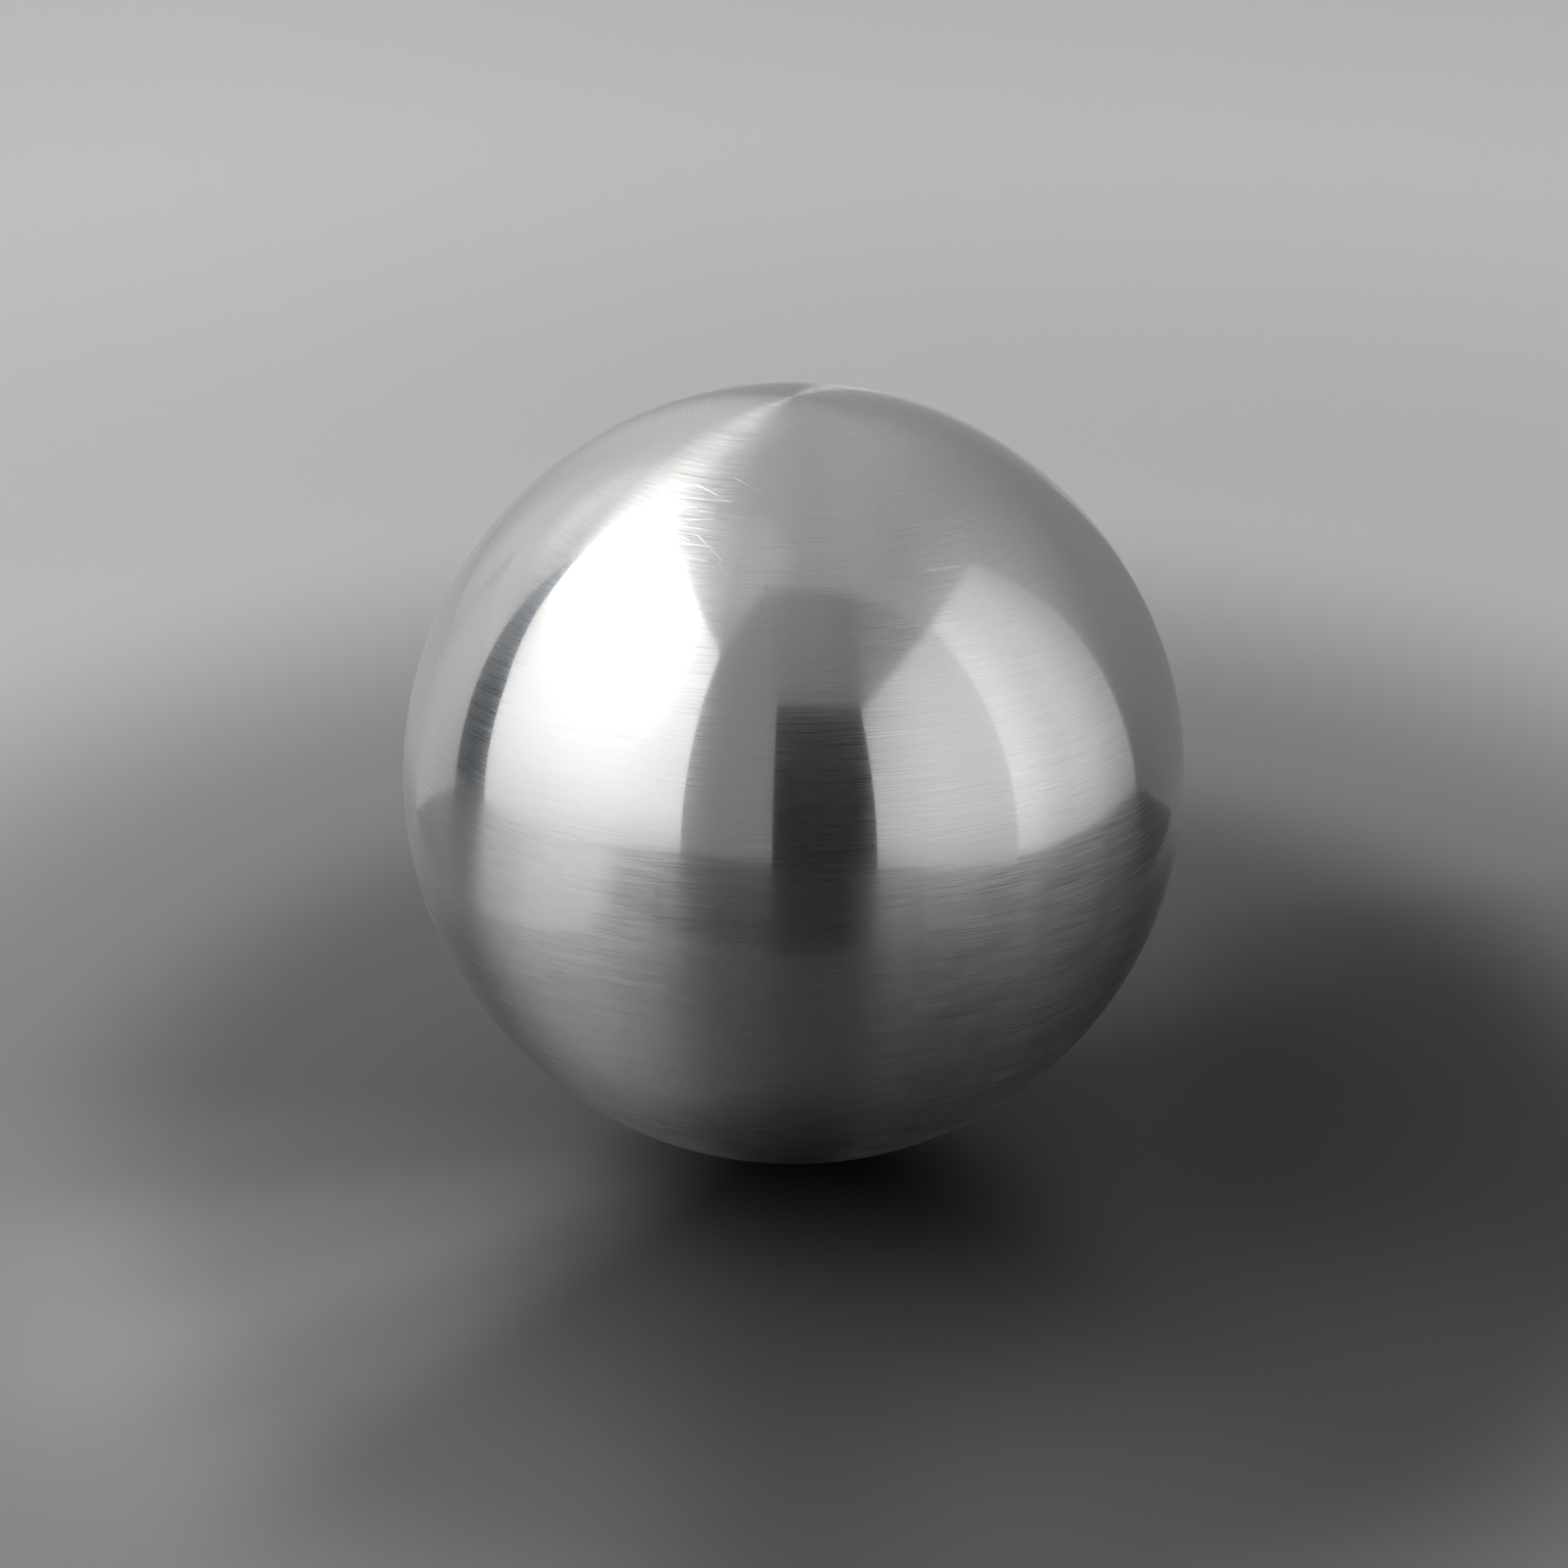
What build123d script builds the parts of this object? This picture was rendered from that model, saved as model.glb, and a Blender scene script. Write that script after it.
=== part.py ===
from build123d import *
import os

# A steel ball, 90 mm across: one solid piece, turned and polished to a satin finish.
# Units are millimetres. The origin is the centre of the ball and +Z is up. Z is also the
# axis that the ball was spun about when it was polished, so the polish lines run round
# it as circles of latitude. The lines themselves are far too fine to be cut here.

# Driving dimension: a ball is known by its diameter alone.
BALL_DIAMETER = 90.0


def half_disc(diameter):
    """The ball's section on one side of its axis: a half circle closed along the axis."""
    with BuildSketch(Plane.XZ) as section:
        with BuildLine():
            rim = CenterArc((0, 0), diameter / 2, -90, 180)
            Line(rim @ 1, rim @ 0)
        make_face()
    return section.sketch


def steel_ball():
    """The whole object: the half disc turned once about the polishing axis."""
    return revolve(half_disc(BALL_DIAMETER), axis=Axis.Z)


os.makedirs("parts", exist_ok=True)
export_step(steel_ball(), "parts/steel_ball.step")
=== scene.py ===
# %% [markdown]
# A satin-brushed steel ball
#
# The real object is one solid ball of stainless steel, about 90 mm across. It was turned
# round, polished, and then brushed while it spun about one axis. So it has no edges and no
# colour of its own: all that the eye sees is the room, mirrored in a ball and smeared by
# fine brush lines. This lesson therefore has two halves. The first makes the ball and its
# finish, and the second sets up the studio that the finish needs.

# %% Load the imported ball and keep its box
import math

import bmesh
import bpy
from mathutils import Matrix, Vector


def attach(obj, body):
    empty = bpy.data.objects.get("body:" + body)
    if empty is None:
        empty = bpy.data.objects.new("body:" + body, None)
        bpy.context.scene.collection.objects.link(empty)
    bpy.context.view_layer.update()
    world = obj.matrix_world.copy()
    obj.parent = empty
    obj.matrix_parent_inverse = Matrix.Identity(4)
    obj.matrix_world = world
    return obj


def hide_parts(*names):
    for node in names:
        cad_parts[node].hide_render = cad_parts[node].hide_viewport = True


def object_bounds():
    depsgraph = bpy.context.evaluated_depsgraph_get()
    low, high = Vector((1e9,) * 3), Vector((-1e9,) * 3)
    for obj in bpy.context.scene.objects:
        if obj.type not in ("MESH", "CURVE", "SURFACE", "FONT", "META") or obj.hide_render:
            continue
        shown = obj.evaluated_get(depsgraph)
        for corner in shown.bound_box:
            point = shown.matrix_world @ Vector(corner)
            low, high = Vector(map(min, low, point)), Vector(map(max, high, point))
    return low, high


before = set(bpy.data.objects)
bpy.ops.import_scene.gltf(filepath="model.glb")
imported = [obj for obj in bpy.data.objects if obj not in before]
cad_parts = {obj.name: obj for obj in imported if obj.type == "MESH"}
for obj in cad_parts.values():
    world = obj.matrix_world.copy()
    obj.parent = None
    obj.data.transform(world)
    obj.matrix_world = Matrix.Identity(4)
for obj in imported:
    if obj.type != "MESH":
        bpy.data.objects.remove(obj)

packed_low, packed_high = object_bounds()
half_box = (packed_high - packed_low) / 2
BALL_RADIUS = min(half_box)
MM = 0.001
print("packed ball, half box in mm:", [round(side / MM, 4) for side in half_box])

# %% [markdown]
# Helpers for making objects and materials
#
# Every object here starts as a bmesh, Blender's editable mesh, and ends as an object that
# sits at the origin, so that its place is in its mesh. A material is a chain of nodes. The
# small helper adds one node, sets its options, and fills each input either with a value
# or with a link from another node, so that a material reads like a list of steps.

# %% Turn a bmesh into an object
def place_mesh(shape, name, material):
    """Writes the bmesh to a new object at the origin and gives it its material."""
    mesh = bpy.data.meshes.new(name)
    shape.to_mesh(mesh)
    shape.free()
    mesh.materials.append(material)
    made = bpy.data.objects.new(name, mesh)
    bpy.context.scene.collection.objects.link(made)
    return made


# %% Start a material and add nodes to it
def add_node(tree, kind, inputs=None, **options):
    """Adds a shader node. Inputs are values or the outputs of other nodes."""
    node = tree.nodes.new("ShaderNode" + kind)
    for option, value in options.items():
        setattr(node, option, value)
    for socket, value in (inputs or {}).items():
        if isinstance(value, bpy.types.NodeSocket):
            tree.links.new(value, node.inputs[socket])
        else:
            node.inputs[socket].default_value = value
    return node


def new_material(name):
    """An empty material with only its output node, and the tree to build it in."""
    material = bpy.data.materials.new(name)
    material.use_nodes = True
    material.node_tree.nodes.clear()
    output = add_node(material.node_tree, "OutputMaterial")
    return material, material.node_tree, output


# %% Arithmetic on numbers that vary over the surface
def calculate(tree, operation, first, second=0.0, third=0.0):
    """One step of arithmetic, such as ADD or MULTIPLY_ADD."""
    inputs = {0: first, 1: second, 2: third}
    return add_node(tree, "Math", inputs, operation=operation).outputs[0]


def carry(tree, value, low, high, to_low, to_high, soft=True):
    """Carries a range of one number over to another range, with or without soft ends."""
    return add_node(
        tree, "MapRange",
        {"Value": value, "From Min": low, "From Max": high, "To Min": to_low, "To Max": to_high},
        interpolation_type="SMOOTHSTEP" if soft else "LINEAR",
    ).outputs[0]


def scaled(tree, vector, factor):
    """A vector or a colour times one number."""
    inputs = {0: vector, "Scale": factor}
    return add_node(tree, "VectorMath", inputs, operation="SCALE").outputs[0]


# %% Where a spot lies
def own_place(tree):
    """The object's own coordinates, first as one vector and then as its X, Y and Z."""
    place = add_node(tree, "TexCoord").outputs["Object"]
    return place, add_node(tree, "SeparateXYZ", {0: place}).outputs


# %% Greys along a scale
def tones_along(tree, value, tones, tint=(1.0, 1.0, 1.0)):
    """Greys at given places of a scale that the value runs along, with soft steps between."""
    first, last = tones[0][0], tones[-1][0]
    share = carry(tree, value, first, last, 0.0, 1.0, soft=False)
    node = add_node(tree, "ValToRGB", {0: share})
    ramp = node.color_ramp
    ramp.interpolation = "EASE"
    while len(ramp.elements) < len(tones):
        ramp.elements.new(0.5)
    for element, (place, grey) in zip(ramp.elements, tones):
        element.position = (place - first) / (last - first)
        element.color = (grey * tint[0], grey * tint[1], grey * tint[2], 1)
    return node.outputs[0]


# %% [markdown]
# The shape of the ball
#
# A polished ball could start as Blender's ready sphere, but the lathe's way suits it better:
# one point is spun about the Y axis into a half circle, and that profile is spun once about
# the upright axis. The rings of the mesh then run as the brush lines do. The spin leaves two
# rows of points on top of each other at the seam and a heap of them at each pole, so they
# are merged, and the faces are turned to point outwards.

# %% Spin the ball
PROFILE_STEPS = 160
TURN_STEPS = 320
SAME_POINT = 0.01 * MM


def spin_ball(radius):
    """A half-circle profile from pole to pole, turned once about the upright axis."""
    ball = bmesh.new()
    lowest = ball.verts.new((0, 0, -radius))
    bmesh.ops.spin(
        ball, geom=[lowest], cent=(0, 0, 0), axis=(0, 1, 0),
        angle=-math.pi, steps=PROFILE_STEPS, use_duplicate=False,
    )
    profile = ball.verts[:] + ball.edges[:]
    bmesh.ops.spin(
        ball, geom=profile, cent=(0, 0, 0), axis=(0, 0, 1),
        angle=2 * math.pi, steps=TURN_STEPS, use_merge=True, use_duplicate=False,
    )
    bmesh.ops.remove_doubles(ball, verts=ball.verts[:], dist=SAME_POINT)
    bmesh.ops.recalc_face_normals(ball, faces=ball.faces[:])
    return ball


ball_shape = spin_ball(BALL_RADIUS)
print("ball:", len(ball_shape.verts), "points,", len(ball_shape.faces), "faces")
print("open edges:", sum(edge.is_boundary for edge in ball_shape.edges))

# %% [markdown]
# A map for the finish
#
# A finish that follows the surface needs a map of it. This one is laid out like a map of the
# globe: across is the angle round the upright axis, and up is the distance from the bottom
# pole. Each brush line is then a level line on the map. At a pole all of the across values
# meet, so each small triangle there takes the middle of its own slice.

# %% Unroll the ball like a globe
def unroll(ball):
    """Gives every face corner its place on the globe map."""
    layer = ball.loops.layers.uv.new("OFBake")
    for face in ball.faces:
        middle = face.calc_center_median()
        middle_turn = math.atan2(middle.y, middle.x)
        for corner in face.loops:
            point = corner.vert.co
            turn = middle_turn
            if math.hypot(point.x, point.y) > SAME_POINT:
                turn = math.atan2(point.y, point.x)
            turn += 2 * math.pi * round((middle_turn - turn) / (2 * math.pi))
            rise = math.asin(max(-1.0, min(1.0, point.z / point.length)))
            corner[layer].uv = (turn / (2 * math.pi) + 0.5, rise / math.pi + 0.5)
        face.smooth = True


unroll(ball_shape)
print("map layers on the ball:", [layer.name for layer in ball_shape.loops.layers.uv.values()])

# %% [markdown]
# Coordinates that follow the brush
#
# A pad held to the spinning ball leaves thousands of fine grooves, each a short arc of a
# circle of latitude. They could be painted on the map above, but there they would grow
# shorter and crowd together towards the poles. So the finish reads the place on the real
# surface, in millimetres, and swaps its height for the distance along the surface from the
# equator. A groove then has the same width at the pole as at the equator.

# %% Place on the ball, in millimetres
steel, steel_tree, steel_output = new_material("satin_brushed_steel")
RADIUS_MM = BALL_RADIUS / MM
on_object = add_node(steel_tree, "TexCoord").outputs["Object"]
in_mm = scaled(steel_tree, on_object, 1 / MM)
axes = add_node(steel_tree, "SeparateXYZ", {0: in_mm}).outputs
height_share = calculate(steel_tree, "DIVIDE", axes["Z"], RADIUS_MM)
latitude = calculate(steel_tree, "ARCSINE", height_share)
up_the_ball = calculate(steel_tree, "MULTIPLY", latitude, RADIUS_MM)
brush_place = add_node(
    steel_tree, "CombineXYZ", {0: axes["X"], 1: axes["Y"], 2: up_the_ball}
).outputs[0]
print("from equator to pole along the surface:", round(RADIUS_MM * math.pi / 2, 1), "mm")

# %% [markdown]
# Brush lines
#
# Noise that is drawn out along one direction looks like brushing. Four families of lines
# are laid over each other, because one pad carries grains of many sizes. Hair lines are
# too fine to be seen one by one, and only mix bright and dull steel. Fine and bold lines
# are the ones that the eye picks out, and broad bands come from the pad's slow wander.

# %% Four families of lines
def brush_lines(length, width, detail, shift):
    """Noise between 0 and 1, drawn out along the circles. Sizes are in millimetres."""
    stretched = add_node(
        steel_tree, "Mapping",
        {"Vector": brush_place, "Location": (shift, shift, shift),
         "Scale": (1 / length, 1 / length, 1 / width)},
    ).outputs[0]
    return add_node(
        steel_tree, "TexNoise",
        {"Vector": stretched, "Scale": 1.0, "Detail": detail, "Roughness": 0.6},
    ).outputs[0]


hair_lines = brush_lines(length=7.0, width=0.006, detail=0.0, shift=3.1)
fine_lines = brush_lines(length=13.0, width=0.12, detail=1.0, shift=23.9)
bold_lines = brush_lines(length=22.0, width=0.36, detail=2.0, shift=17.7)
broad_bands = brush_lines(length=60.0, width=2.6, detail=1.0, shift=41.3)

# %% [markdown]
# Scratches
#
# A ball that has been handled carries a few light scratches across its brushing. Each is a
# short straight line between two places on the ball, given by the turn from the front and
# the rise above the equator, in degrees. A node chain measures the distance from the line.
# A scratch is rough inside, so it spreads the light of the whole room, and its colour is
# made paler as a painted highlight, so it shows as a thin pale line where the steel beside
# it mirrors something dark.

# %% Where the scratches are
SCRATCHES = [
    ((-32.7, 59.6), (-17.0, 60.1)), ((-26.9, 57.8), (-11.6, 57.0)), ((-35.4, 57.7), (-26.8, 58.3)),
    ((-30.3, 54.7), (-21.1, 54.6)), ((-23.4, 53.7), (-14.9, 49.4)), ((-26.1, 51.9), (-18.8, 51.9)),
    ((-16.4, 49.4), (-10.9, 45.8)), ((-20.2, 64.8), (-9.1, 62.0)), ((-5.7, 46.7), (-4.5, 40.1)),
    ((-3.9, 37.0), (-4.4, 35.8)), ((-0.7, 34.3), (-0.5, 33.7)), ((-24.0, 49.7), (-19.0, 49.6)),
    ((27.8, 47.1), (35.5, 46.9)), ((8.5, 34.6), (7.4, 33.2)), ((-31.0, 62.5), (-22.5, 61.0)),
    ((-28.0, 55.9), (-20.5, 56.6)), ((-29.5, 53.2), (-24.8, 52.6)),
]


def on_ball(turn, rise):
    """A place on the ball in millimetres, from two angles in degrees."""
    across, up = math.radians(turn), math.radians(rise)
    return RADIUS_MM * Vector(
        (math.sin(across) * math.cos(up), -math.cos(across) * math.cos(up), math.sin(up))
    )


# %% One scratch
SCRATCH_CORE = 0.01
SCRATCH_HALF_WIDTH = 0.075


def scratch(start, end):
    """1 on the line between two places of the ball, and 0 off it."""
    start, end = on_ball(*start), on_ball(*end)
    # A straight line dips below the round surface in its middle, so half of the dip is added
    lift = 1 + (1 - ((start + end) / 2).length / RADIUS_MM) / 2
    start, end = start * lift, end * lift
    run = end - start
    from_start = add_node(
        steel_tree, "VectorMath", {0: in_mm, 1: start}, operation="SUBTRACT"
    ).outputs[0]
    share = add_node(
        steel_tree, "VectorMath", {0: from_start, 1: run / run.length_squared},
        operation="DOT_PRODUCT",
    ).outputs["Value"]
    within = add_node(steel_tree, "Math", {0: share, 1: 0.0}, operation="ADD", use_clamp=True)
    nearest = scaled(steel_tree, run, within.outputs[0])
    gap = add_node(
        steel_tree, "VectorMath", {0: from_start, 1: nearest}, operation="DISTANCE"
    ).outputs["Value"]
    return carry(steel_tree, gap, SCRATCH_CORE, SCRATCH_HALF_WIDTH, 1.0, 0.0)


scratched = scratch(*SCRATCHES[0])
for ends in SCRATCHES[1:]:
    scratched = calculate(steel_tree, "MAXIMUM", scratched, scratch(*ends))
print("scratches:", len(SCRATCHES))

# %% [markdown]
# Bright and dull grooves
#
# Seen close, satin steel is two surfaces in one: narrow lands that the polish left, which
# mirror the room crisply, and dull grooves between them, which spread each light into a
# long soft haze. The hair lines decide which of the two a spot is, because they weigh the
# most. The fine and bold lines only tip the balance a little, and that is what shows as
# brushing. Noise keeps close to its middle, so a narrow span of it covers the change from
# bright to dull.

# %% Roughness from the lines
BRIGHT_LAND = 0.07
DULL_GROOVE = 0.31
SCRATCH_DULLNESS = 0.4
HAIR_WEIGHT = 0.85
FINE_WEIGHT = 0.11
BOLD_WEIGHT = 0.04
ALL_LAND = 0.455
ALL_GROOVE = 0.565

hair_share = calculate(steel_tree, "MULTIPLY", hair_lines, HAIR_WEIGHT)
fine_share = calculate(steel_tree, "MULTIPLY_ADD", fine_lines, FINE_WEIGHT, hair_share)
line_share = calculate(steel_tree, "MULTIPLY_ADD", bold_lines, BOLD_WEIGHT, fine_share)
groove_roughness = carry(steel_tree, line_share, ALL_LAND, ALL_GROOVE, BRIGHT_LAND, DULL_GROOVE)
steel_roughness = calculate(
    steel_tree, "MULTIPLY_ADD", scratched, SCRATCH_DULLNESS, groove_roughness
)

# %% [markdown]
# Grooves tip the surface
#
# A groove also leans the surface a fraction of a degree up or down the ball, so that the
# edges of what it mirrors look combed. A normal map gives that lean: its green channel is
# the slope along the map's up direction.

# %% Slopes as a normal map
FINE_TIP = 0.028
BOLD_TIP = 0.012
BAND_TIP = 0.004


def tip(lines, amount):
    """Turns noise about its middle into a slope up or down the ball."""
    return calculate(steel_tree, "MULTIPLY_ADD", lines, amount, -0.5 * amount)


fine_and_bold = calculate(
    steel_tree, "ADD", tip(fine_lines, FINE_TIP), tip(bold_lines, BOLD_TIP)
)
slope_up = calculate(steel_tree, "ADD", fine_and_bold, tip(broad_bands, BAND_TIP))
green = calculate(steel_tree, "MULTIPLY_ADD", slope_up, 0.5, 0.5)
leaning = add_node(steel_tree, "CombineColor", {0: 0.5, 1: green, 2: 1.0}).outputs[0]
groove_normal = add_node(
    steel_tree, "NormalMap", {"Strength": 1.0, "Color": leaning}, space="TANGENT", uv_map="OFBake"
).outputs[0]
print("a fine groove leans the surface by up to", round(math.degrees(FINE_TIP / 2), 2), "degrees")

# %% [markdown]
# One metal shader
#
# The colour of stainless steel is a nearly neutral grey that mirrors about six tenths of
# the light. The grooves are a little darker than the lands, and a scratch is the palest:
# its paler colour is a painted highlight for the light that a scratch catches. Along a
# groove the steel stays bright and across it the steel is rough, so a lamp is smeared into
# a streak from pole to pole, while its upright edges stay sharp. One metal shader does this
# with its anisotropy turned fully on, and a quarter turn makes the smear run across the grooves.

# %% The colour of the steel
STEEL_LAND = (0.623, 0.620, 0.616, 1.0)
STEEL_GROOVE = (0.588, 0.586, 0.583, 1.0)
# A painted highlight: the paler colour stands in for the light a scratch catches
PAINTED_SCRATCH_GLINT = (0.84, 0.84, 0.84, 1.0)

brushed_colour = add_node(
    steel_tree, "Mix", {0: line_share, 6: STEEL_LAND, 7: STEEL_GROOVE}, data_type="RGBA"
).outputs[2]
# The scratches take the painted highlight colour
steel_colour = add_node(
    steel_tree, "Mix", {0: scratched, 6: brushed_colour, 7: PAINTED_SCRATCH_GLINT}, data_type="RGBA"
).outputs[2]

# %% Brushed metal
QUARTER_TURN = 0.25

groove_direction = add_node(steel_tree, "Tangent", direction_type="RADIAL", axis="Z").outputs[0]
metal = add_node(
    steel_tree, "BsdfPrincipled",
    {"Base Color": steel_colour, "Metallic": 1.0, "Roughness": steel_roughness,
     "Anisotropic": 1.0, "Anisotropic Rotation": QUARTER_TURN,
     "Tangent": groove_direction, "Normal": groove_normal},
)
steel_tree.links.new(metal.outputs[0], steel_output.inputs["Surface"])
print("steel:", len(steel_tree.nodes), "nodes")

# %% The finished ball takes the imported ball's place
ball = place_mesh(ball_shape, "brushed_ball", steel)
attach(ball, "root")
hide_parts("steel_ball")
print("ball in mm:", [round(side / MM, 3) for side in ball.dimensions])

# %% [markdown]
# The floor
#
# A mirror-like ball shows its floor as clearly as its lamps, and here a plain pale floor
# would turn the lower half as pale as the upper. So the floor is pale in the distance and
# falls off to a dark grey round the ball: a painted shadow, deeper than the ball's own soft
# shadow. Towards the window at the left, painted window light makes this painted shade less
# deep, and there the floor also has the most sheen, so that the ball finds the window's
# glint in it. On the right, more painted shade makes it a touch darker, and it is nearly matt.
#
# The tones run outwards from the middle of the painted shade, in ball radii, and the shade is
# drawn out along Y. Two tables go round the ball and give, by azimuth in degrees, a gain for
# the tones near it and the sheen. Where the gain is above 1 it is painted light, and where it
# is below 1 it is painted shade. The gain fades with the distance, and the sheen is held back
# close to the ball.

# %% Tones of the floor
WHITE = (1.0, 1.0, 1.0, 1.0)
FLOOR_RADIUS = 80 * BALL_RADIUS
# Dark tones near the ball are a painted shadow; the pale tones far off are the floor's grey
FLOOR_TONES_WITH_PAINTED_SHADOW = [
    (0.0, 0.012), (0.7, 0.033), (1.7, 0.05), (2.5, 0.14), (4.5, 0.40), (10.0, 0.56), (30.0, 0.66),
]
SHADE_CENTRE = (0.25 * BALL_RADIUS, 0.0, 0.0)
SHADE_STRETCH = (1.0, 0.75, 0.0)
# Painted window light on the floor where above 1, painted shade where below 1
PAINTED_LIGHT_AND_SHADE_GAIN = [
    (-180, 1.0), (-105, 0.8), (-85, 1.2), (-63, 2.2), (-52, 2.5), (-38, 1.8), (-26, 1.0), (10, 1.0),
    (45, 0.8), (80, 0.6), (130, 0.6), (180, 1.0),
]
FLOOR_SHEEN = [
    (-180, 0.5), (-100, 0.5), (-62, 1.0), (-28, 0.5), (5, 0.5), (40, 0.15), (115, 0.1), (150, 0.4),
    (180, 0.5),
]
GAIN_FADE = (1.7, 2.6, 1.0, 0.0)
SHEEN_LIMIT = (1.5, 2.2, 0.5, 1.0)
FLOOR_ROUGHNESS = 0.4
FLOOR_IOR = 1.6
COOL = (0.985, 1.0, 1.035)

print("floor tones from", FLOOR_TONES_WITH_PAINTED_SHADOW[0][1], "to", FLOOR_TONES_WITH_PAINTED_SHADOW[-1][1])


# %% Lay the floor
def turn_from_front(tree, x, y):
    """The azimuth of a direction in degrees: 0 towards the camera and 90 to the right."""
    towards_camera = calculate(tree, "MULTIPLY", y, -1.0)
    return calculate(tree, "DEGREES", calculate(tree, "ARCTAN2", x, towards_camera))


def floor_material():
    """Pale grey, with painted shade round the ball and painted light towards the window."""
    material, tree, output = new_material("pale_floor_with_painted_shade")
    place, axis = own_place(tree)
    flat = add_node(tree, "VectorMath", {0: place, 1: SHADE_STRETCH}, operation="MULTIPLY").outputs[0]
    away = add_node(tree, "VectorMath", {0: flat, 1: SHADE_CENTRE}, operation="DISTANCE")
    in_radii = calculate(tree, "DIVIDE", away.outputs["Value"], BALL_RADIUS)
    # The painted shadow round the ball
    shade = tones_along(tree, in_radii, FLOOR_TONES_WITH_PAINTED_SHADOW, COOL)
    turn = turn_from_front(tree, axis["X"], axis["Y"])
    # Near the ball, painted window light on the left and painted shade on the right
    near = carry(tree, in_radii, *GAIN_FADE)
    gain = add_node(
        tree, "Mix", {0: near, 6: WHITE, 7: tones_along(tree, turn, PAINTED_LIGHT_AND_SHADE_GAIN)}, data_type="RGBA"
    ).outputs[2]
    tone = add_node(tree, "VectorMath", {0: shade, 1: gain}, operation="MULTIPLY").outputs[0]
    limit = carry(tree, in_radii, *SHEEN_LIMIT)
    sheen = calculate(tree, "MINIMUM", tones_along(tree, turn, FLOOR_SHEEN), limit)
    paint = add_node(
        tree, "BsdfPrincipled",
        {"Base Color": tone, "Roughness": FLOOR_ROUGHNESS, "IOR": FLOOR_IOR,
         "Specular IOR Level": sheen},
    )
    tree.links.new(paint.outputs[0], output.inputs["Surface"])
    return material


def lay_floor():
    """A large round floor that touches the ball at its lowest point."""
    disc = bmesh.new()
    bmesh.ops.create_circle(disc, cap_ends=True, segments=96, radius=FLOOR_RADIUS)
    bmesh.ops.translate(disc, verts=disc.verts[:], vec=(0, 0, packed_low.z))
    return place_mesh(disc, "floor", floor_material())


floor = lay_floor()
print("floor under the ball at", round(packed_low.z / MM, 2), "mm")

# %% [markdown]
# Cards round the ball
#
# Polished steel is lit with large flat cards, because the steel shows each of them as a
# shape with clean edges. A card here is one flat face on an upright plane. The plane is
# given by its azimuth round the ball, 0 on the camera's side and 90 on the right, and by its
# distance. A corner is given in shares of that distance, so that it stays in the same
# direction if the plane is moved. The camera can't see the cards, the steel can.

# %% Corners on an upright plane
def upright_corners(azimuth, distance, corners):
    """Turns (along, height) corners on an upright plane into places in the room."""
    turn = math.radians(azimuth)
    facing = Vector((math.sin(turn), -math.cos(turn), 0))
    along = Vector((math.cos(turn), math.sin(turn), 0))
    up = Vector((0, 0, 1))
    return [distance * (facing + a * along + h * up) for a, h in corners]


def hang_card(name, points, material):
    """One flat face through the points, hidden from the camera."""
    card = bmesh.new()
    card.faces.new([card.verts.new(point) for point in points])
    made = place_mesh(card, name, material)
    made.visible_camera = False
    print(name, "has", len(points), "corners")
    return made


# %% Light on a card
def glowing(started, colour, strength):
    """Finishes a started material that only gives light, of one strength or of many."""
    material, tree, output = started
    glow = add_node(tree, "Emission", {"Color": colour, "Strength": strength})
    tree.links.new(glow.outputs[0], output.inputs["Surface"])
    return material


def over_radii(tree, place, step):
    """Carries a place in the room over to a strength. The step starts with two places, in
    ball radii, and ends with the strengths there."""
    low, high, to_low, to_high = step
    return carry(tree, place, low * BALL_RADIUS, high * BALL_RADIUS, to_low, to_high)


# %% [markdown]
# The window
#
# The main light is a tall window on the left that reaches to the floor. Its left edge
# leans back like a drawn curtain, and its light grows upwards and towards that edge, where
# the sky is. The brightest part gives the haze that climbs over the top of the ball.

# %% The light of the window
LOW_LIGHT = (-2.0, 2.3, 0.80, 1.40)
HIGH_LIGHT = (3.0, 13.0, 0.0, 0.4)
SKY_LIGHT = (4.4, 9.2, 0.0, 5.3)
FROM_THE_RIGHT = (-10.0, 1.0, 0.0, 1.0)
RIGHT_GAIN, MORE_AT_LEFT = 0.99, 0.08


def window_light():
    """Soft white that grows with height, and more so on the left."""
    light = new_material("window_light")
    tree = light[1]
    axis = own_place(tree)[1]
    low = over_radii(tree, axis["Z"], LOW_LIGHT)
    high = over_radii(tree, axis["Z"], HIGH_LIGHT)
    sky = over_radii(tree, axis["Z"], SKY_LIGHT)
    leftwards = over_radii(tree, axis["Y"], FROM_THE_RIGHT)
    gain = calculate(tree, "MULTIPLY_ADD", leftwards, MORE_AT_LEFT, RIGHT_GAIN)
    plain = calculate(tree, "MULTIPLY", calculate(tree, "ADD", low, high), gain)
    return glowing(light, WHITE, calculate(tree, "MULTIPLY_ADD", sky, leftwards, plain))


# %% The shape of the window
WINDOW_DISTANCE = 8 * BALL_RADIUS
CURTAIN_EDGE = [
    (-0.07, -0.12), (-0.10, 0.10), (-0.14, 0.27), (-0.21, 0.41), (-0.29, 0.57), (-0.38, 0.77),
    (-0.48, 0.95), (-0.54, 1.14), (-0.61, 1.57),
]
WINDOW_OUTLINE = CURTAIN_EDGE + [(-0.61, 1.78), (0.0, 1.90), (1.62, 2.33), (1.67, -0.12)]

hang_card("window", upright_corners(-90, WINDOW_DISTANCE, WINDOW_OUTLINE), window_light())

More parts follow.
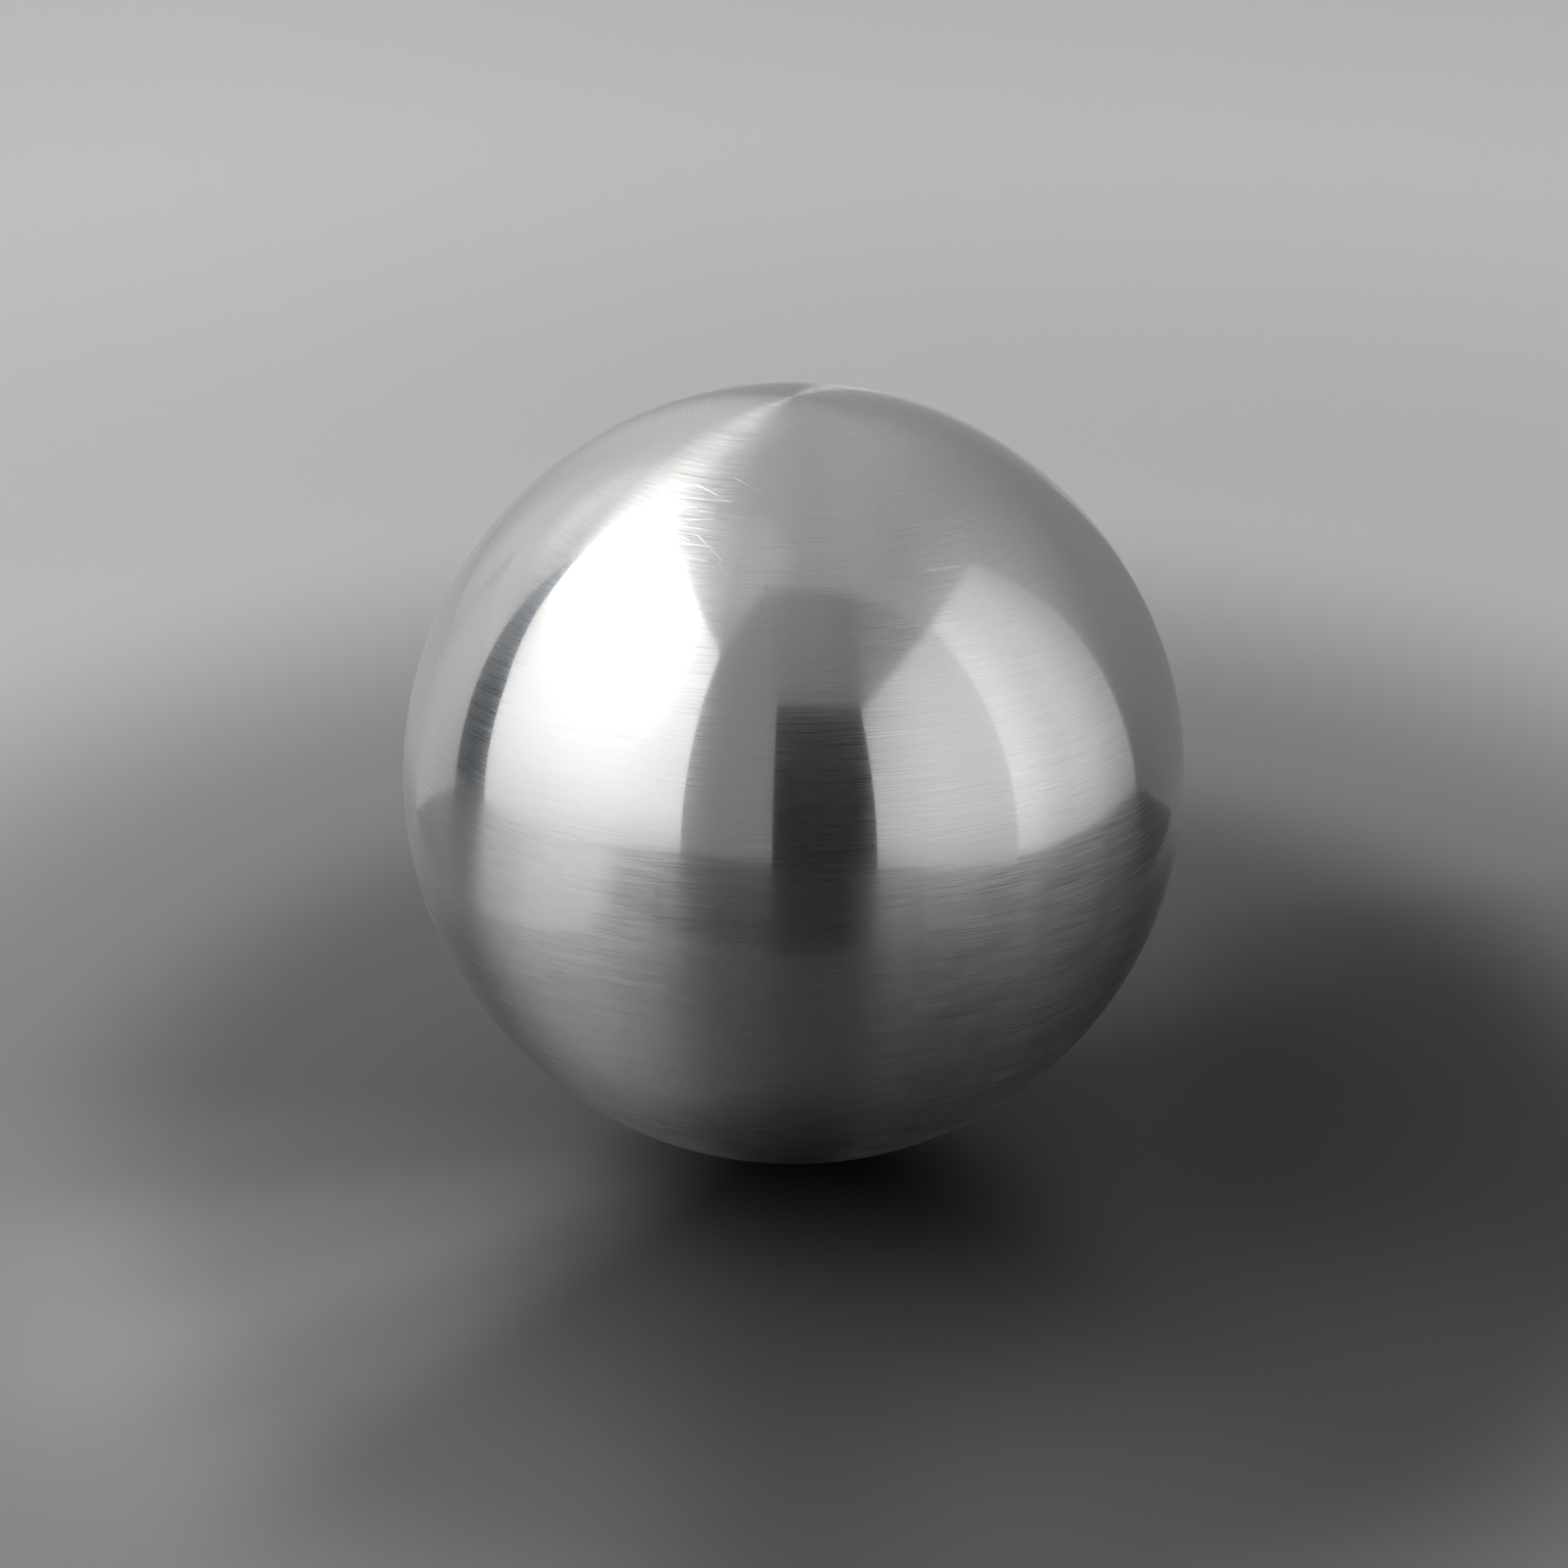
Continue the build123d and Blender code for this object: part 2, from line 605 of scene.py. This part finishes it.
# %% The dark strip beside the window
STRIP_OUTLINE = [
    (-0.48, 0.85), (-0.46, 0.69), (-0.43, 0.48), (-0.40, 0.30), (-0.37, 0.15), (-0.35, 0.03),
    (-0.34, -0.12),
] + CURTAIN_EDGE[:7]
STRIP_TONES = [(0.0, 0.08), (1.5, 0.11), (3.5, 0.26), (5.5, 0.46), (7.5, 0.66)]
BLUISH = (0.87, 1.0, 1.13)


def strip_light():
    """A bluish dark grey that grows paler upwards."""
    light = new_material("dark_strip_light")
    tree = light[1]
    in_radii = calculate(tree, "DIVIDE", own_place(tree)[1]["Z"], BALL_RADIUS)
    return glowing(light, tones_along(tree, in_radii, STRIP_TONES, BLUISH), 1.0)


hang_card("dark_strip", upright_corners(-90, WINDOW_DISTANCE, STRIP_OUTLINE), strip_light())

# %% [markdown]
# Two softer panels
#
# On the right stand two pale panels that meet in an upright seam. The left one is even,
# and the right one is brightest at the seam and fades to the right. Both fade at the foot,
# where the floor takes their light.

# %% The panels' light
PANEL_AZIMUTH = 80
PANEL_DISTANCE = 5 * BALL_RADIUS
PANEL_FOOT = (-1.1, 0.6, 0.72, 1.0)
WARM = (1.005, 1.0, 0.99)


def panel_light(name, tones):
    """Greys that change along the panel, dimmer near the floor."""
    light = new_material(name)
    tree = light[1]
    turn = math.radians(PANEL_AZIMUTH)
    one_step = (math.cos(turn) / PANEL_DISTANCE, math.sin(turn) / PANEL_DISTANCE, 0)
    place, axis = own_place(tree)
    along = add_node(tree, "VectorMath", {0: place, 1: one_step}, operation="DOT_PRODUCT")
    foot = over_radii(tree, axis["Z"], PANEL_FOOT)
    return glowing(light, tones_along(tree, along.outputs["Value"], tones, WARM), foot)


# %% The panels' shapes
SEAM = -0.36
INNER_OUTLINE = [(-1.60, -0.199), (SEAM, -0.199), (SEAM, 1.25), (-1.60, 1.33)]
OUTER_OUTLINE = [(SEAM, -0.17), (0.50, -0.15), (0.47, 0.60), (0.35, 1.25), (SEAM, 1.25)]

for name, outline, tones in (
    ("inner_panel", INNER_OUTLINE, [(-1.6, 0.82), (-0.8, 1.0), (SEAM, 0.95)]),
    ("outer_panel", OUTER_OUTLINE, [(SEAM, 1.32), (0.0, 0.97), (0.5, 0.60)]),
):
    corners = upright_corners(PANEL_AZIMUTH, PANEL_DISTANCE, outline)
    hang_card(name, corners, panel_light(name + "_light", tones))

# %% [markdown]
# A dark card at the camera
#
# Straight ahead, polished steel mirrors whatever stands at the camera. A plain black card
# there gives the dark upright bar in the middle of the ball. It is there for the steel
# alone, so it casts no shadow and throws no light on the floor.

# %% The card at the camera
CARD_DISTANCE = 8 * BALL_RADIUS
CARD_OUTLINE = [(-0.10, -0.124), (0.40, -0.124), (0.40, 0.78), (-0.10, 0.78)]
CARD_TONE = 0.02


def only_in_the_steel(card):
    """Keeps a card out of the floor's light and shadow."""
    card.visible_shadow = False
    card.visible_diffuse = False


only_in_the_steel(hang_card(
    "camera_card", upright_corners(0, CARD_DISTANCE, CARD_OUTLINE),
    glowing(new_material("camera_card_light"), WHITE, CARD_TONE),
))

# %% [markdown]
# Cards behind the ball
#
# The rim of the ball mirrors what stands behind it at either side. Two low cards give the
# left rim a pale edge and the right rim a dark one. The left one dims towards the ball, so
# that its end doesn't show as a line. The right one reaches further in, and its foot is
# lifted there, so that the floor's sheen doesn't show it. They too are for the steel alone.
# Each has its corners, its tones across and its gain from foot to top, with every place in
# ball radii.

# %% Rear cards
REAR_DISTANCE = 2.0
REAR_CARDS = {
    "rear_left_card": (
        [(-2.6, -1), (-6.45, -1), (-5.8, 1.5), (-2.6, 1.5)],
        [(-6.5, 0.62), (-3.7, 0.68), (-3.1, 0.67), (-2.6, 0.58)],
        (-1.0, 1.5, 0.86, 1.08),
    ),
    "rear_right_card": (
        [(1.25, -0.72), (2.6, -0.95), (6.0, -1), (6.0, 1.5), (1.25, 1.5)],
        [(1.25, 0.24), (6.0, 0.23)],
        (-1.0, 1.5, 0.80, 1.20),
    ),
}


def rear_light(name, tones, gain):
    """Greys that change across the card, and a little from its foot to its top."""
    light = new_material(name)
    tree = light[1]
    axis = own_place(tree)[1]
    across = calculate(tree, "DIVIDE", axis["X"], BALL_RADIUS)
    return glowing(light, tones_along(tree, across, tones), over_radii(tree, axis["Z"], gain))


for name, (corners, tones, gain) in REAR_CARDS.items():
    points = [BALL_RADIUS * Vector((x, REAR_DISTANCE, z)) for x, z in corners]
    only_in_the_steel(hang_card(name, points, rear_light(name + "_light", tones, gain)))

# %% [markdown]
# A cloth on the floor
#
# Out of the picture, a satin cloth lies round three sides of the ball. It is dark or black,
# except by the window, where its tone is made pale with painted window light. The lower half
# of the ball mirrors it, so it sets how that half goes from light to dark. From below, the
# cloth is clear, so that the floor's own sheen doesn't show its hem.

# %% Tone and outline of the cloth
# The pale tones from about -98 to -42 degrees are painted window light
CLOTH_TONES_WITH_PAINTED_LIGHT = [
    (-180, 0.10), (-130, 0.12), (-98, 0.19), (-84, 0.40), (-66, 0.58), (-54, 0.56), (-42, 0.20),
    (-30, 0.05), (-15, 0.03), (10, 0.02), (24, 0.10), (40, 0.13), (56, 0.05), (90, 0.02), (180, 0.02),
]
CLOTH_OUTLINE = [
    (-7.9, 2.0), (-7.9, -14), (6, -14), (6, 2.0), (2.5, 2.0), (1.78, -2.38), (-1.78, -2.38),
    (-2.5, 2.0),
]
CLOTH_GAIN = (2.5, 7.0, 0.9, 1.2)
CLOTH_TINT = (0.98, 0.995, 1.03)
CLOTH_ROUGHNESS = 0.45
CLOTH_SHEEN = 0.25
CLOTH_LIFT = 0.2 * MM

cloth_greys = [grey for turn, grey in CLOTH_TONES_WITH_PAINTED_LIGHT]
print("cloth tones from", min(cloth_greys), "to", max(cloth_greys))


# %% Lay the cloth
def cloth_material():
    """Satin cloth whose tone goes round the ball, with painted window light on the window's side."""
    material, tree, output = new_material("floor_cloth")
    place, axis = own_place(tree)
    azimuth = turn_from_front(tree, axis["X"], axis["Y"])
    # Tone round the ball, including the painted window light by the window
    round_the_ball = tones_along(tree, azimuth, CLOTH_TONES_WITH_PAINTED_LIGHT, CLOTH_TINT)
    away = add_node(tree, "VectorMath", {0: place}, operation="LENGTH").outputs["Value"]
    tone = scaled(tree, round_the_ball, over_radii(tree, away, CLOTH_GAIN))
    paint = add_node(
        tree, "BsdfPrincipled",
        {"Base Color": tone, "Roughness": CLOTH_ROUGHNESS, "Specular IOR Level": CLOTH_SHEEN},
    )
    clear = add_node(tree, "BsdfTransparent")
    from_below = add_node(tree, "NewGeometry").outputs["Backfacing"]
    cloth = add_node(tree, "MixShader", {0: from_below, 1: paint.outputs[0], 2: clear.outputs[0]})
    tree.links.new(cloth.outputs[0], output.inputs["Surface"])
    return material


above_floor = packed_low.z + CLOTH_LIFT
cloth_points = [Vector((x * BALL_RADIUS, y * BALL_RADIUS, above_floor)) for x, y in CLOTH_OUTLINE]
only_in_the_steel(hang_card("floor_cloth", cloth_points, cloth_material()))

# %% [markdown]
# A soft lamp overhead
#
# The cards alone leave the far floor dim. One broad lamp above it fills it in. It would
# show in the steel as a bright square, so the steel doesn't see it.

# %% Hang the lamp
LAMP_SIZE = 30 * BALL_RADIUS
LAMP_PLACE = BALL_RADIUS * Vector((0, 8, 26))
LAMP_POWER = 5.0


def hang_lamp():
    """A broad square lamp that looks straight down."""
    data = bpy.data.lights.new("overhead_lamp", "AREA")
    data.shape = "SQUARE"
    data.size = LAMP_SIZE
    data.energy = LAMP_POWER
    lamp = bpy.data.objects.new("overhead_lamp", data)
    lamp.location = LAMP_PLACE
    lamp.visible_glossy = False
    lamp.visible_camera = False
    bpy.context.scene.collection.objects.link(lamp)
    return lamp


print("lamp:", round(hang_lamp().location.z, 2), "m up")

# %% [markdown]
# The room
#
# Between the cards the steel mirrors the sides of the room and its ceiling, which the world
# stands in for. The sides are greys that go round with the azimuth. The ceiling lies over
# them, light on the left and darker on the right, and ends in front, where the room behind
# the camera is dim. That end is made of three sloping planes. Soft glows, two at the left
# behind the ball and one over it, are the window's light coming back.
#
# A direction in the room is a vector of length one, and the ranges below are ranges of its
# X, Y or Z. Its dot product with the middle of a glow is 1 there and less further off.

# %% Tones of the sides and the ceiling
SIDE_TONES = [
    (-180, 0.34), (-172, 0.54), (-158, 0.46), (-145, 0.60), (-130, 0.80), (-112, 0.85), (-60, 0.46),
    (-32, 0.36), (-20, 0.32), (10, 0.30), (35, 0.24), (65, 0.23), (100, 0.34), (140, 0.25), (180, 0.34),
]
CEILING_TONES = [(-0.8, 0.62), (-0.2, 0.56), (0.15, 0.53), (0.45, 0.40), (0.8, 0.43)]
CEILING_TINT = (1.015, 1.0, 0.985)
CEILING_RISE = (0.15, 0.65, 0.0, 1.0)
FRONT_PLANES = [(0.0, -0.285), (1.35, -0.11), (-0.26, -0.20)]
PLANE_BLEND = 0.08
FRONT_EDGE = (-0.04, 0.04, 1.0, 0.0)

print("tones of the sides:", len(SIDE_TONES), "and of the ceiling:", len(CEILING_TONES))

# %% The window's light coming back
GLOWS = [(-158, 26, 0.86, 0.42), (-130, 42, 0.93, 0.65), (-70, 74, 0.94, 0.26)]
GLOW_CORE = 0.988
LEFT_SIDE = (-0.10, 0.08, 1.0, 0.0)


def glow_in(tree, looking):
    """The glows added up. Each has an azimuth, a rise, the reach of its rim and a strength."""
    glow = 0.0
    for azimuth, rise, reach, most in GLOWS:
        turn, lift = math.radians(azimuth), math.radians(rise)
        centre = (math.sin(turn) * math.cos(lift), -math.cos(turn) * math.cos(lift), math.sin(lift))
        nearness = add_node(tree, "VectorMath", {0: looking, 1: centre}, operation="DOT_PRODUCT")
        spot = carry(tree, nearness.outputs["Value"], reach, GLOW_CORE, 0.0, most)
        glow = calculate(tree, "ADD", glow, spot)
    return glow


print("glows:", len(GLOWS))


# %% Light the room
def room_colour(tree):
    """The grey of the room in every direction."""
    looking = add_node(tree, "TexCoord").outputs["Generated"]
    axis = add_node(tree, "SeparateXYZ", {0: looking}).outputs
    sides = tones_along(tree, turn_from_front(tree, axis["X"], axis["Y"]), SIDE_TONES)
    ceiling = tones_along(tree, axis["X"], CEILING_TONES, CEILING_TINT)
    towards_camera = calculate(tree, "MULTIPLY", axis["Y"], -1.0)
    front = None
    for sideways, upwards in FRONT_PLANES:
        slanted = calculate(tree, "MULTIPLY_ADD", axis["X"], sideways, towards_camera)
        plane = calculate(tree, "MULTIPLY_ADD", axis["Z"], upwards, slanted)
        front = plane if front is None else calculate(tree, "SMOOTH_MIN", front, plane, PLANE_BLEND)
    overhead = calculate(
        tree, "MULTIPLY", carry(tree, axis["Z"], *CEILING_RISE), carry(tree, front, *FRONT_EDGE)
    )
    room = add_node(tree, "Mix", {0: overhead, 6: sides, 7: ceiling}, data_type="RGBA").outputs[2]
    on_the_left = carry(tree, axis["X"], *LEFT_SIDE)
    gain = calculate(tree, "MULTIPLY_ADD", glow_in(tree, looking), on_the_left, 1.0)
    return scaled(tree, room, gain)


def light_room():
    """Puts the room's grey on the world round the ball."""
    world = bpy.data.worlds.new("studio_room")
    world.use_nodes = True
    tree = world.node_tree
    tree.nodes.clear()
    background = add_node(tree, "Background", {"Color": room_colour(tree), "Strength": 1.0})
    add_node(tree, "OutputWorld", {"Surface": background.outputs[0]})
    bpy.context.scene.world = world
    return world


print("room:", len(light_room().node_tree.nodes), "nodes")

# %% [markdown]
# The camera
#
# The camera stands twelve ball radii away and looks down by twenty degrees with a long
# lens, so the ball keeps its round outline. It aims a touch left of and below the middle
# of the ball, which puts the ball right of and above the middle of the picture.

# %% Aim the camera
CAMERA_RISE = 20.0
CAMERA_DISTANCE = 12 * BALL_RADIUS
LENS = 107.3
AIM_LEFT, AIM_BELOW = 1.13 * MM, 1.25 * MM


def aim_camera():
    """Looks along +Y and down, past the middle of the ball."""
    data = bpy.data.cameras.new("camera")
    camera = bpy.data.objects.new("camera", data)
    bpy.context.scene.collection.objects.link(camera)
    rise = math.radians(CAMERA_RISE)
    back = Vector((0, -math.cos(rise), math.sin(rise)))
    right = Vector((1, 0, 0))
    up = back.cross(right)
    aim = -AIM_LEFT * right - AIM_BELOW * up
    camera.location = aim + CAMERA_DISTANCE * back
    camera.rotation_mode = "QUATERNION"
    camera.rotation_quaternion = (-back).to_track_quat("-Z", "Y")
    data.sensor_width = 36.0
    data.lens = LENS
    data.clip_start = 0.01
    data.clip_end = 100.0
    return camera


bpy.context.scene.camera = aim_camera()
bpy.context.scene.view_settings.view_transform = "Standard"
print("camera at", [round(side, 3) for side in bpy.context.scene.camera.location])
